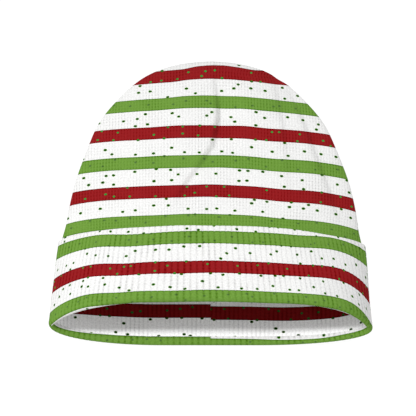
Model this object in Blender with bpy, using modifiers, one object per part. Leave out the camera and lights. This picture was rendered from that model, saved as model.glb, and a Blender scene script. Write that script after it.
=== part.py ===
"""Knitted beanie with a turned-up cuff, lying on its back on a floor at z = 0.

The opening faces -Y and the crown points to +Y, with the origin on the floor under the middle. The
back layer is pressed flat by the floor and the front layer arches over it, so each cross-section has
a flat underside, a side fold at each end and a rounded top. The shape is worked out in cross-sections
at distances from the rim, called stations. Sizes are in metres.
"""

from collections import namedtuple

import bpy
import numpy as np

# Driving sizes
LENGTH = 0.2295
BODY_WIDTH = 0.2340
OPENING_HEIGHT = 0.0620
WALL = 0.0024
CUFF_HEIGHT = 0.0705
CUFF_WALL = 0.0024
CUFF_STANDOFF_AT_RIM = 0.0016
CUFF_STANDOFF_AT_EDGE = 0.0011
RIM_SETBACK = 0.0060
CROWN_END_LIFT = 0.0100
RIM_LAP = 0.0055
SEAM_CLEARANCE = 0.0003
RIB_PITCH = 0.0045
RIB_DEPTH = 0.0006
CREASE_DEPTH = 0.0018
CREASE_WIDTH = 0.0070

# Shape of the underside: the middle share of the width that lies flat, and the share of the length
# from the crown end over which the cloth lifts off the floor.
FLAT_SHARE = 0.30
LIFT_SHARE = 0.15
STEP_DOWN_LENGTH = 0.0160

# Mesh density
TOP_SEGMENTS = 28
UNDER_SEGMENTS = 22
UNDER_CUFF_RINGS = 5
BODY_RINGS = 10
NOSE_RINGS = 6
NOSE_SHARE = 0.13
CUFF_LEG_RINGS = 1
CUFF_TURN_RINGS = 4
OUTLINE_SAMPLES = 721

# Cross-sections of the body's outer side, from the crown end to the rim. from_crown is a share of
# LENGTH, half_width of half BODY_WIDTH, and top, left_fold and right_fold are heights as shares of
# OPENING_HEIGHT. squareness keeps the top level towards its sides, and softness rounds its folds.
Section = namedtuple("Section", "from_crown half_width top left_fold right_fold squareness softness")
SECTIONS = (
    Section(0.00, 0.000, 0.161, 0.161, 0.161, 2.0, 1.6),
    Section(0.05, 0.384, 0.323, 0.198, 0.198, 2.0, 1.4),
    Section(0.09, 0.479, 0.375, 0.226, 0.226, 2.0, 1.2),
    Section(0.15, 0.585, 0.436, 0.262, 0.255, 2.0, 1.1),
    Section(0.25, 0.716, 0.516, 0.320, 0.294, 2.0, 1.1),
    Section(0.35, 0.791, 0.585, 0.371, 0.315, 2.0, 1.3),
    Section(0.50, 0.876, 0.689, 0.427, 0.306, 2.1, 1.5),
    Section(0.67, 0.935, 0.806, 0.468, 0.316, 2.3, 1.8),
    Section(0.85, 0.973, 0.911, 0.500, 0.355, 2.8, 1.8),
    Section(1.00, 1.000, 1.000, 0.516, 0.371, 3.0, 1.8),
)

# Soft creases in the front layer. across is a share of half BODY_WIDTH and along a share of LENGTH.
CreasePoint = namedtuple("CreasePoint", "across along strength")
CREASES = {
    "middle": (
        CreasePoint(0.025, 0.93, 0.2),
        CreasePoint(0.050, 0.76, 1.0),
        CreasePoint(0.006, 0.63, 0.8),
        CreasePoint(-0.095, 0.55, 0.6),
        CreasePoint(-0.245, 0.41, 0.0),
    ),
    "right": (
        CreasePoint(0.45, 0.93, 0.3),
        CreasePoint(0.61, 0.75, 0.8),
        CreasePoint(0.67, 0.64, 0.8),
        CreasePoint(0.73, 0.52, 0.6),
        CreasePoint(0.77, 0.42, 0.0),
    ),
}

CLOTH = {
    "crown": {"colour": (0.86, 0.85, 0.84), "roughness": 0.85},
    "cuff": {"colour": (0.80, 0.79, 0.78), "roughness": 0.90},
}


def clear_scene():
    for obj in list(bpy.data.objects):
        bpy.data.objects.remove(obj)


def collection_named(name):
    found = bpy.data.collections.new(name)
    bpy.context.scene.collection.children.link(found)
    return found


def material_for(node):
    """A matt cloth material of the node's own."""
    material = bpy.data.materials.new(node + "_knit")
    material.use_nodes = True
    shader = material.node_tree.nodes["Principled BSDF"]
    shader.inputs["Base Color"].default_value = (*CLOTH[node]["colour"], 1.0)
    shader.inputs["Roughness"].default_value = CLOTH[node]["roughness"]
    shader.inputs["Metallic"].default_value = 0.0
    return material


def smooth_through(known_at, known, at):
    """A smooth curve through known values that never swings past them between two of them."""
    gaps = np.diff(known_at)
    slopes = np.diff(known) / gaps
    tangents = np.zeros(len(known))
    tangents[0] = slopes[0]
    tangents[-1] = slopes[-1]
    same_way = slopes[:-1] * slopes[1:] > 0
    weights = 2 * gaps[1:] + gaps[:-1], gaps[1:] + 2 * gaps[:-1]
    with np.errstate(divide="ignore", invalid="ignore"):
        blended = (weights[0] + weights[1]) / (weights[0] / slopes[:-1] + weights[1] / slopes[1:])
    tangents[1:-1] = np.where(same_way, blended, 0.0)
    span = np.clip(np.searchsorted(known_at, at) - 1, 0, len(gaps) - 1)
    width = gaps[span]
    t = (at - known_at[span]) / width
    start = known[span] * (1 + 2 * t) * (1 - t) ** 2 + tangents[span] * width * t * (1 - t) ** 2
    end = known[span + 1] * t**2 * (3 - 2 * t) + tangents[span + 1] * width * t**2 * (t - 1)
    return start + end


def read_sections(column, station):
    """One column of the table at a distance from the rim. It is smooth in the square root of the
    distance from the crown end, which makes that end round."""
    root = np.sqrt(max(1.0 - station / LENGTH, 0.0))
    known_at = np.sqrt([row.from_crown for row in SECTIONS])
    known = np.array([getattr(row, column) for row in SECTIONS])
    return float(smooth_through(known_at, known, root))


def cuff_offset(station):
    """How far the cuff's outer side stands off the body's outer side, at a distance from the rim."""
    share = min(max(station / CUFF_HEIGHT, 0.0), 1.0)
    standoff = CUFF_STANDOFF_AT_RIM + (CUFF_STANDOFF_AT_EDGE - CUFF_STANDOFF_AT_RIM) * share
    return CUFF_WALL + standoff


def underside_height(station):
    """Height of the flat underside: on the cuff, then on the floor, then lifting to the crown end."""
    past_cuff = min(max((station - CUFF_HEIGHT) / STEP_DOWN_LENGTH, 0.0), 1.0)
    on_cuff = cuff_offset(station) * (1 - past_cuff**2 * (3 - 2 * past_cuff))
    root = np.sqrt(max(1.0 - station / LENGTH, 0.0))
    lift = max(1.0 - root / np.sqrt(LIFT_SHARE), 0.0)
    return on_cuff + CROWN_END_LIFT * lift**2


def evenly_spaced(x, z, segments):
    """The curve's points moved to equal distances along it."""
    length = np.concatenate([[0.0], np.cumsum(np.hypot(np.diff(x), np.diff(z)))])
    at = np.linspace(0.0, length[-1], segments + 1)
    return np.interp(at, length, x), np.interp(at, length, z)


def outline(station, top_segments, under_segments):
    """One closed cross-section of the body's outer side, from the right fold over the top to the
    left fold and back underneath: x, z and the outward direction of each point."""
    half_width = read_sections("half_width", station) * BODY_WIDTH / 2
    top = read_sections("top", station) * OPENING_HEIGHT
    left = read_sections("left_fold", station) * OPENING_HEIGHT
    right = read_sections("right_fold", station) * OPENING_HEIGHT
    squareness = read_sections("squareness", station)
    softness = read_sections("softness", station)
    under = underside_height(station)

    across = np.cos(np.linspace(0.0, np.pi, OUTLINE_SAMPLES))
    side = np.abs(across)
    fold = (left + right) / 2 + (right - left) / 2 * across
    arch = (top - (left + right) / 2) * (1 - side**squareness) ** (1 / softness)
    top_x, top_z = evenly_spaced(half_width * across, fold + arch, top_segments)

    past_flat = np.clip((side - FLAT_SHARE) / (1 - FLAT_SHARE), 0.0, 1.0)
    rise = 1 - np.sqrt(1 - past_flat**2)
    fold_height = np.where(across > 0, right, left)
    under_z = under + (fold_height - under) * rise
    under_x, under_z = evenly_spaced(-half_width * across, under_z[::-1], under_segments)

    x = np.concatenate([top_x[:-1], under_x[:-1]])
    z = np.concatenate([top_z[:-1], under_z[:-1]])
    along_x = np.roll(x, -1) - np.roll(x, 1)
    along_z = np.roll(z, -1) - np.roll(z, 1)
    size = np.hypot(along_x, along_z)
    return x, z, along_z / size, -along_x / size


def distance_to_path(x, y, path):
    """Each point's distance to the nearest leg of the path, and the crease's strength there."""
    nearest = np.full(len(x), np.inf)
    strength = np.zeros(len(x))
    for a, b in zip(path, path[1:]):
        start = np.array([a.across * BODY_WIDTH / 2, a.along * LENGTH])
        leg = np.array([b.across * BODY_WIDTH / 2, b.along * LENGTH]) - start
        share = ((x - start[0]) * leg[0] + (y - start[1]) * leg[1]) / leg.dot(leg)
        share = np.clip(share, 0.0, 1.0)
        distance = np.hypot(x - start[0] - share * leg[0], y - start[1] - share * leg[1])
        closer = distance < nearest
        nearest = np.where(closer, distance, nearest)
        strength = np.where(closer, a.strength + (b.strength - a.strength) * share, strength)
    return nearest, strength


def crease_depth(x, y):
    """How deep the front layer is pressed in at each point."""
    depth = np.zeros(len(x))
    for path in CREASES.values():
        distance, strength = distance_to_path(x, y, path)
        depth += CREASE_DEPTH * strength * np.exp(-((distance / CREASE_WIDTH) ** 2))
    return depth


def lean_back(station, z):
    """The front of the rim sits further from the viewer than the back of it."""
    from_crown = 1.0 - station / LENGTH
    return station + RIM_SETBACK * from_crown**2 * z / OPENING_HEIGHT


def object_from_grid(node, rings, end_point, collection):
    """One open surface from rings of points, closed at the last ring by a point if there is one."""
    count = len(rings[0])
    points = [tuple(point) for ring in rings for point in ring]
    faces = []
    for ring in range(len(rings) - 1):
        for i in range(count):
            low = ring * count
            high = low + count
            j = (i + 1) % count
            faces.append((low + i, high + i, high + j, low + j))
    if end_point is not None:
        points.append(tuple(end_point))
        last = (len(rings) - 1) * count
        faces += [(last + i, len(points) - 1, last + (i + 1) % count) for i in range(count)]
    mesh = bpy.data.meshes.new(node)
    mesh.from_pydata(points, [], faces)
    mesh.materials.append(material_for(node))
    mesh.shade_smooth()
    obj = bpy.data.objects.new(node, mesh)
    obj.location = (0.0, -LENGTH / 2, 0.0)
    collection.objects.link(obj)
    return obj


def thicken(obj, wall):
    """Gives the surface its wall, inwards from the outer side."""
    solid = obj.modifiers.new("wall", "SOLIDIFY")
    solid.thickness = wall
    solid.offset = -1.0
    solid.use_even_offset = True


def crown_stations():
    """Distances from the rim: even under the cuff and along the body, and closer together round the
    crown end."""
    nose_start = LENGTH * (1 - NOSE_SHARE)
    under_cuff = np.linspace(RIM_LAP, CUFF_HEIGHT, UNDER_CUFF_RINGS + 1)
    body = np.linspace(CUFF_HEIGHT, nose_start, BODY_RINGS + 1)
    turn = np.sin(np.linspace(0.0, np.pi / 2, NOSE_RINGS + 1))
    nose = nose_start + (LENGTH - nose_start) * turn
    return np.concatenate([under_cuff[:-1], body, nose[1:-1]])


def make_crown(collection):
    rings = []
    for station in crown_stations():
        x, z, _, _ = outline(station, TOP_SEGMENTS, UNDER_SEGMENTS)
        front = np.arange(len(x)) < TOP_SEGMENTS
        z = z - np.where(front, crease_depth(x, np.full(len(x), station)), 0.0)
        rings.append(np.column_stack([x, lean_back(station, z), z]))
    end = (0.0, LENGTH, CROWN_END_LIFT)
    crown = object_from_grid("crown", rings, end, collection)
    thicken(crown, WALL)
    return crown


def cuff_profile():
    """The cuff's outer side as (distance from the rim, offset from the body, rib share), from the
    free edge down the band and round the fold to the tip that meets the crown's lower edge."""
    outer = cuff_offset(0.0)
    radius = (outer + WALL) / 2
    middle = (outer - WALL) / 2
    profile = []
    for station in np.linspace(CUFF_HEIGHT, 2 * radius, CUFF_LEG_RINGS + 1):
        profile.append((station, cuff_offset(station), 1.0))
    for angle in np.linspace(0.0, np.pi, CUFF_TURN_RINGS + 1):
        station = radius - radius * np.sin(angle)
        profile.append((station, middle + radius * np.cos(angle), 0.0))
    profile.append((RIM_LAP - SEAM_CLEARANCE, -WALL, 0.0))
    return profile


def rib_counts():
    """Whole ribs over the top and underneath, from the lengths of the rim's two halves."""
    x, z, _, _ = outline(0.0, TOP_SEGMENTS, UNDER_SEGMENTS)
    steps = np.hypot(np.roll(x, -1) - x, np.roll(z, -1) - z)
    halves = steps[:TOP_SEGMENTS], steps[TOP_SEGMENTS:]
    return [round(half.sum() / RIB_PITCH) for half in halves]


def make_cuff(collection):
    top_ribs, under_ribs = rib_counts()
    rings = []
    for station, offset, rib_share in cuff_profile():
        x, z, out_x, out_z = outline(station, 2 * top_ribs, 2 * under_ribs)
        groove = np.arange(len(x)) % 2 == 1
        pressed_flat = out_z == -1.0
        reach = offset - np.where(groove & ~pressed_flat, RIB_DEPTH * rib_share, 0.0)
        x = x + out_x * reach
        z = z + out_z * reach
        rings.append(np.column_stack([x, lean_back(station, z), z]))
    cuff = object_from_grid("cuff", rings[::-1], None, collection)
    thicken(cuff, CUFF_WALL)
    return cuff


clear_scene()
beanie = collection_named("beanie")
make_crown(beanie)
make_cuff(beanie)
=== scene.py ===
# %% [markdown]
# # A printed knit beanie
#
# A beanie is a tube of knitted cloth that is closed in a dome at one end and turned up in a cuff at
# the other. This one is cut from cloth that was printed flat, with level red and green stripes and a
# scatter of small green dots, and it lies on its back: the back layer is pressed flat by the floor
# and the front layer arches over it.
#
# Both pieces here are surfaces worked out with numpy. A soft hat could be sculpted, or dropped as
# simulated cloth, but a formula keeps its folds, seams and ribs where the real ones are, and lets the
# print follow the cloth exactly.

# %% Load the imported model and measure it
from collections import namedtuple

import bpy
import numpy as np
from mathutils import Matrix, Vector


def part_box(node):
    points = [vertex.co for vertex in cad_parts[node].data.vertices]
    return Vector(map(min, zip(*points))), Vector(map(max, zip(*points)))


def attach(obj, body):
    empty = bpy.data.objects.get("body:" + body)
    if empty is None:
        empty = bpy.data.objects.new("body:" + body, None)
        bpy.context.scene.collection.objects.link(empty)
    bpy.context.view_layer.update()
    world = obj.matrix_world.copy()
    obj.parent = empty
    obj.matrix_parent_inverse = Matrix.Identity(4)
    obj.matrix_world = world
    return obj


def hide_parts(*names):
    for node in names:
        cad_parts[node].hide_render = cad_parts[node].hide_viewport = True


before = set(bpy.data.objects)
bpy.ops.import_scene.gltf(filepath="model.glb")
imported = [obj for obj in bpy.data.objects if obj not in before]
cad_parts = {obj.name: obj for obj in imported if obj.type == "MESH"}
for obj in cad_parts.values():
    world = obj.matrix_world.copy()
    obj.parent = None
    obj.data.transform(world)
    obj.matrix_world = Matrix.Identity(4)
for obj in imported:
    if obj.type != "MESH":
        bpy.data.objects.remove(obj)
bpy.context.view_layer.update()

MM = 0.001
crown_low, crown_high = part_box("crown")

# %% [markdown]
# ## The shape, station by station
#
# Cut across, a beanie lying down is a flat underside, a round side fold at each end and a soft arch
# over the top. A cut is named by its station, its distance from the rim. The table holds ten cuts
# from the crown's end to the rim, and a smooth curve through each column gives every cut between
# them. Places, widths and heights are shares of the hat's own length, width and height. The last
# three columns shape the arch: how square its left and right shoulders are, and how soft its top is.
# A lattice of hand-placed points could do the same, but ten rows are easier to read and to change.

# %% The table of cross-sections
LENGTH = 2 * crown_high.y
OPENING_HEIGHT = crown_high.z
RIM_LAP = 5.5 * MM

Section = namedtuple(
    "Section", "from_crown half_width top left_fold right_fold left_square right_square softness")
SECTIONS = (
    Section(0.00, 0.000, 0.161, 0.161, 0.161, 2.0, 2.0, 1.6),
    Section(0.05, 0.401, 0.323, 0.198, 0.198, 2.0, 2.1, 1.4),
    Section(0.09, 0.498, 0.375, 0.226, 0.226, 2.0, 2.2, 1.2),
    Section(0.15, 0.602, 0.436, 0.262, 0.255, 2.0, 2.4, 1.1),
    Section(0.25, 0.729, 0.516, 0.320, 0.305, 2.0, 2.6, 1.1),
    Section(0.35, 0.799, 0.585, 0.371, 0.350, 2.0, 2.6, 1.3),
    Section(0.50, 0.883, 0.689, 0.427, 0.390, 2.1, 2.6, 1.4),
    Section(0.67, 0.937, 0.806, 0.468, 0.415, 2.3, 2.8, 1.6),
    Section(0.85, 0.973, 0.911, 0.475, 0.380, 2.8, 4.2, 1.8),
    Section(1.00, 1.000, 1.000, 0.470, 0.371, 3.0, 5.0, 1.8),
)


def smooth_through(known_at, known, at):
    """A smooth curve through known values that never swings past them. Between two known points it is
    the cubic with a chosen slope at each end: the weighted harmonic mean of the straight slopes on
    either side of a point, or level where those two have opposite signs."""
    gaps = np.diff(known_at)
    slopes = np.diff(known) / gaps
    before = 2 * gaps[1:] + gaps[:-1]
    after = gaps[1:] + 2 * gaps[:-1]
    with np.errstate(divide="ignore", invalid="ignore"):
        mean = (before + after) / (before / slopes[:-1] + after / slopes[1:])
    inner = np.where(slopes[:-1] * slopes[1:] > 0, mean, 0.0)
    tangents = np.concatenate([slopes[:1], inner, slopes[-1:]])
    span = np.clip(np.searchsorted(known_at, at) - 1, 0, len(gaps) - 1)
    width = gaps[span]
    t = (at - known_at[span]) / width
    start = known[span] * (1 + 2 * t) * (1 - t) ** 2 + tangents[span] * width * t * (1 - t) ** 2
    end = known[span + 1] * t**2 * (3 - 2 * t) + tangents[span + 1] * width * t**2 * (t - 1)
    return start + end


def even_curve(values, at):
    """The smooth curve through values that stand at even places from 0 to 1."""
    return smooth_through(np.linspace(0.0, 1.0, len(values)), np.array(values), at)


def sections_at(stations):
    """Each column of the table at every station, as a column of numbers. The curves are smooth in the
    square root of the distance from the crown's end, and that root makes the end round."""
    root = np.sqrt(np.clip(1 - stations / LENGTH, 0.0, None))
    known = np.array(SECTIONS).T
    return Section(*[smooth_through(np.sqrt(known[0]), column, root)[:, None] for column in known])


share_at_lap = sections_at(np.array([RIM_LAP])).half_width[0, 0]
BODY_WIDTH = (crown_high.x - crown_low.x) / share_at_lap
print(f"Length {LENGTH / MM:.1f}, width {BODY_WIDTH / MM:.1f}, opening {OPENING_HEIGHT / MM:.1f} mm")

# %% [markdown]
# ## Where the cuff sits
#
# The cuff is the lower end of the tube, folded up over the outside, so it stands off the body by its
# own thickness and a little air. The underside rests on it near the rim and on the floor beyond it.
# Knitting is soft, so its walls are pressed thinner underneath, and thinnest at the side folds.

# %% Heights that follow the cuff
CUFF_HEIGHT = 70.5 * MM
CUFF_WALL = 2.4 * MM
CUFF_STANDOFF_AT_RIM = 1.6 * MM
CUFF_STANDOFF_AT_EDGE = 1.1 * MM
STEP_DOWN_LENGTH = 16.0 * MM
CROWN_END_LIFT = 10.0 * MM
LIFT_SHARE = 0.15

UNDER_PRESS = 0.78
FOLD_PRESS = 0.62
NEAR_FOLD_PRESS = 0.9
FRONT_PRESS = (FOLD_PRESS, NEAR_FOLD_PRESS, 1.0, 1.0, 1.0, 1.0, 1.0, NEAR_FOLD_PRESS, FOLD_PRESS)
EVEN_UNDER_SHARE = 0.7


def smooth_step(share):
    """0 below 0, 1 above 1, and an even S-curve between: three squares less two cubes of the share."""
    share = np.clip(share, 0.0, 1.0)
    return share**2 * (3 - 2 * share)


def cuff_standoff(stations):
    """The air gap between body and cuff, which narrows evenly from the rim to the cuff's free edge."""
    share = np.clip(stations / CUFF_HEIGHT, 0.0, 1.0)
    return CUFF_STANDOFF_AT_RIM + (CUFF_STANDOFF_AT_EDGE - CUFF_STANDOFF_AT_RIM) * share


def cuff_room(stations):
    """The room that the cuff takes outside the body, which steps down smoothly to none beyond it."""
    past_cuff = smooth_step((stations - CUFF_HEIGHT) / STEP_DOWN_LENGTH)
    return (CUFF_WALL + cuff_standoff(stations)) * (1 - past_cuff)


def underside_height(stations):
    """Height of the flat underside: on the pressed cuff, then a smooth step down to the floor, then a
    lift towards the crown's end that grows as the square of the way there."""
    root = np.sqrt(np.clip(1 - stations / LENGTH, 0.0, None))
    lift = np.clip(1 - root / np.sqrt(LIFT_SHARE), 0.0, None)
    return UNDER_PRESS * cuff_room(stations) + CROWN_END_LIFT * lift**2


def round_ring(under, front):
    """Values round a ring: the underside's left half, the front, and the left half mirrored."""
    return np.concatenate([under[:-1], front[:-1], under[:0:-1]])


def pressed(top_shares, under_shares):
    """What is left of the walls' thickness round a ring: all of it on the front, less at the folds, and
    a little less underneath, with smooth curves between."""
    under = smooth_through(np.array([0.0, EVEN_UNDER_SHARE, 1.0]),
                           np.array([UNDER_PRESS, UNDER_PRESS, FOLD_PRESS]), under_shares)
    return round_ring(under, even_curve(FRONT_PRESS, top_shares))


print(f"The cuff stands {(CUFF_WALL + cuff_standoff(0.0)) / MM:.1f} mm off the body at the rim")

# %% [markdown]
# ## How the cuts lean
#
# No soft hat lies quite even. The front of this one's rim is drawn back, its underside reaches a
# little forward, its right side is fuller than its left, and that side has one small dent near the
# crown. Whole cuts are moved for this by one function that serves both pieces, so that body and cuff
# stay together, as they would under a Lattice modifier.

# %% From cuts to places
RIM_SETBACK = 8.4 * MM
BACK_REACH = 1.7 * MM
RIGHT_FULLNESS = 0.024
FULL_FROM = 25.0 * MM
FULL_TO = 205.0 * MM
DENT_SHARE = 0.03
DENT_AT = 214.5 * MM
DENT_WIDTH = 3.5 * MM


def placed(x, stations, heights):
    """Points in the hat's own frame. The setback grows with height, the reach doesn't, and both fade as
    the square of the way to the crown. The right side's fullness is half a sine between two stations,
    and its dent is a bell curve."""
    from_crown = 1 - stations / LENGTH
    leaning = RIM_SETBACK * heights / OPENING_HEIGHT - BACK_REACH
    y = stations + leaning * from_crown**2 - LENGTH / 2
    along_side = np.clip((stations - FULL_FROM) / (FULL_TO - FULL_FROM), 0.0, 1.0)
    fuller = RIGHT_FULLNESS * np.sin(np.pi * along_side)
    dented = DENT_SHARE * np.exp(-(((stations - DENT_AT) / DENT_WIDTH) ** 2))
    x = np.where(x > 0, x * (1 + fuller - dented), x)
    return np.stack([x, y, heights], axis=-1)


print(f"The rim's front lies {(RIM_SETBACK - BACK_REACH) / MM:.1f} mm back")

# %% [markdown]
# ## Rings of points
#
# Each station gives one ring: from the middle of the underside to the left fold, over the top to the
# right fold, and back underneath. The three stretches are spaced by their own running length, because
# knitting has the same number of stitches in every centimetre. All the rings are spaced at once by
# np.interp: each ring's running length is turned into a share from 0 to 1, and every further ring has 2
# added to its shares, so that the rings can't mix.

# %% Rings round the body
FLAT_SHARE = 0.30
FOLD_CUT = 0.975
OUTLINE_SAMPLES = 721

Rings = namedtuple("Rings", "x z out_x out_z under_left top under_right")


def run_along(x, z, shares):
    """Points at the given shares of each row's running length, with the lengths at those points."""
    steps = np.hypot(np.diff(x), np.diff(z))
    length = np.concatenate([np.zeros((len(x), 1)), np.cumsum(steps, axis=1)], axis=1)
    total = length[:, -1:]
    row = 2.0 * np.arange(len(x))[:, None]
    known_at = (row + length / total).ravel()
    at = row + shares
    return np.interp(at, known_at, x.ravel()), np.interp(at, known_at, z.ravel()), shares * total


def body_rings(stations, top_shares, under_shares):
    """Rings on the body's outer side. Over the top the height is the fold line plus an arch, which is
    the root, by softness, of one less the sideways share to the power of squareness. The power turns
    from the left's to the right's between the middle and half way to the right fold. The arch is cut a
    little before it would turn upright, which leaves a crisp fold. Underneath it is flat as far as
    FLAT_SHARE, and then rises to each fold as a quarter of an ellipse."""
    cut = sections_at(stations)
    half_width = cut.half_width * BODY_WIDTH / 2 + (1 - FOLD_PRESS) * cuff_room(stations)[:, None]
    left = cut.left_fold * OPENING_HEIGHT
    right = cut.right_fold * OPENING_HEIGHT
    under = underside_height(stations)[:, None]

    across = -np.cos(np.linspace(0.0, np.pi, OUTLINE_SAMPLES))
    fold = (left + right) / 2 + (right - left) / 2 * across
    power = cut.left_square + (cut.right_square - cut.left_square) * smooth_step(2 * across)
    whole = (1 - np.abs(FOLD_CUT * across) ** power) ** (1 / cut.softness)
    below_cut = (1 - FOLD_CUT**power) ** (1 / cut.softness)
    arch = (whole - below_cut) / (1 - below_cut)
    height = fold + (cut.top * OPENING_HEIGHT - (left + right) / 2) * arch
    top_x, top_z, top_run = run_along(half_width * across, height, top_shares)

    side = np.sin(np.linspace(0.0, np.pi / 2, OUTLINE_SAMPLES))
    rise = 1 - np.sqrt(1 - np.clip((side - FLAT_SHARE) / (1 - FLAT_SHARE), 0.0, 1.0) ** 2)
    left_side = run_along(-half_width * side, under + (left - under) * rise, under_shares)
    right_side = run_along(half_width * side, under + (right - under) * rise, under_shares)

    x = np.concatenate([left_side[0][:, :-1], top_x[:, :-1], right_side[0][:, :0:-1]], axis=1)
    z = np.concatenate([left_side[1][:, :-1], top_z[:, :-1], right_side[1][:, :0:-1]], axis=1)
    along_x = np.roll(x, -1, axis=1) - np.roll(x, 1, axis=1)
    along_z = np.roll(z, -1, axis=1) - np.roll(z, 1, axis=1)
    size = np.hypot(along_x, along_z)
    return Rings(x, z, -along_z / size, along_x / size,
                 left_side[2], top_run - top_run[:, -1:] / 2, right_side[2][:, ::-1])


whole_run = np.array([0.0, 1.0])
rim = body_rings(np.array([0.0]), whole_run, whole_run)
TOP_ROUND = np.ptp(rim.top)
UNDER_ROUND = np.ptp(rim.under_left)
HALF_ROUND = TOP_ROUND / 2 + UNDER_ROUND
print(f"The rim measures {2 * HALF_ROUND / MM:.0f} mm round the body")

# %% [markdown]
# ## Creases and swells
#
# A soft hat keeps the marks of how it was folded. The front layer has one crease that runs down from
# the crown's middle and drifts to the left, one down its right side, and a faint one between them.
# Each is a path of a few points, placed by shares of the half width and the length. It is pressed in
# most on the path and less beside it, by a bell curve of the distance: a narrow one on the left,
# where the cloth laps over, and a wide one on the right. Between the creases the cloth isn't quite
# even either, so three long, low waves are added. A displacement texture could do this too, but then
# body and cuff would not move together.

# %% Marks of folding on the front layer
CREASE_DEPTH = 4.6 * MM
CREASE_LEFT_WIDTH = 3.0 * MM
CREASE_RIGHT_WIDTH = 12.0 * MM
CREASE_FADE = 6
SWELL_FADE = 2

CreasePoint = namedtuple("CreasePoint", "across along strength")
CREASES = {
    "middle": (
        CreasePoint(0.038, 0.93, 0.2),
        CreasePoint(0.062, 0.82, 0.8),
        CreasePoint(0.070, 0.76, 1.2),
        CreasePoint(0.030, 0.64, 1.0),
        CreasePoint(-0.080, 0.54, 0.8),
        CreasePoint(-0.150, 0.48, 0.8),
        CreasePoint(-0.240, 0.37, 0.0),
    ),
    "right": (
        CreasePoint(0.52, 0.88, 0.3),
        CreasePoint(0.60, 0.77, 0.65),
        CreasePoint(0.67, 0.64, 0.65),
        CreasePoint(0.75, 0.50, 0.65),
        CreasePoint(0.81, 0.39, 0.4),
        CreasePoint(0.84, 0.33, 0.0),
    ),
    "faint": (
        CreasePoint(0.42, 0.93, 0.3),
        CreasePoint(0.475, 0.74, 0.35),
        CreasePoint(0.50, 0.56, 0.2),
        CreasePoint(0.52, 0.40, 0.0),
    ),
}

Swell = namedtuple("Swell", "height across along phase")
SWELLS = (
    Swell(0.30 * MM, 96 * MM, 310 * MM, 0.4),
    Swell(0.20 * MM, -61 * MM, 118 * MM, 1.9),
    Swell(0.15 * MM, 43 * MM, -87 * MM, 4.1),
)


def crease_depth(x, stations, half_width):
    """How deep each point is pressed in. Its distance to the nearest leg of a path is measured to the
    foot of the perpendicular, kept between the leg's ends, where the strength is read too. The whole is
    faded to nothing at the side folds, by a power of the way there."""
    depth = np.zeros(x.shape)
    for path in CREASES.values():
        nearest = np.full(x.shape, np.inf)
        strength = np.zeros(x.shape)
        width = np.ones(x.shape)
        for a, b in zip(path, path[1:]):
            start = np.array([a.across * BODY_WIDTH / 2, a.along * LENGTH])
            leg = np.array([b.across * BODY_WIDTH / 2, b.along * LENGTH]) - start
            foot = ((x - start[0]) * leg[0] + (stations - start[1]) * leg[1]) / leg.dot(leg)
            foot = np.clip(foot, 0.0, 1.0)
            distance = np.hypot(x - start[0] - foot * leg[0], stations - start[1] - foot * leg[1])
            on_left = (x - start[0]) * leg[1] > (stations - start[1]) * leg[0]
            closer = distance < nearest
            width = np.where(closer, np.where(on_left, CREASE_LEFT_WIDTH, CREASE_RIGHT_WIDTH), width)
            nearest = np.where(closer, distance, nearest)
            strength = np.where(closer, a.strength + (b.strength - a.strength) * foot, strength)
        depth += CREASE_DEPTH * strength * np.exp(-((nearest / width) ** 2))
    return depth * np.clip(1 - (x / half_width) ** CREASE_FADE, 0.0, 1.0)


def swell_height(x, stations, half_width):
    """The long waves: a sum of sines across and along, faded to nothing at the side folds."""
    height = sum(wave.height * np.sin(2 * np.pi * (x / wave.across + stations / wave.along) + wave.phase)
                 for wave in SWELLS)
    return height * np.clip(1 - (x / half_width) ** SWELL_FADE, 0.0, 1.0)


print("Creases:", ", ".join(CREASES))

# %% [markdown]
# ## The flat cloth under every point
#
# A print belongs to the cloth, so each point also needs its place on the flat cloth: u across it and
# v along it, in metres. On the front, u is the running length from the middle, so the knit's columns
# run straight up and stop at the dome's edge, where the two layers are sewn together. On the back it
# is counted from the back seam. At a seam one point has two places on the cloth, so the map has a
# column more there than the mesh has. Blender keeps such a map per face corner, as a UV map.

# %% The mesh maker
CLOTH_MAP = "flat_cloth"
SHARP_ANGLE = np.radians(75.0)


def put_in_scene(name, data):
    """A new object that shows the given mesh, light or camera."""
    made = bpy.data.objects.new(name, data)
    bpy.context.scene.collection.objects.link(made)
    return made


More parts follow.
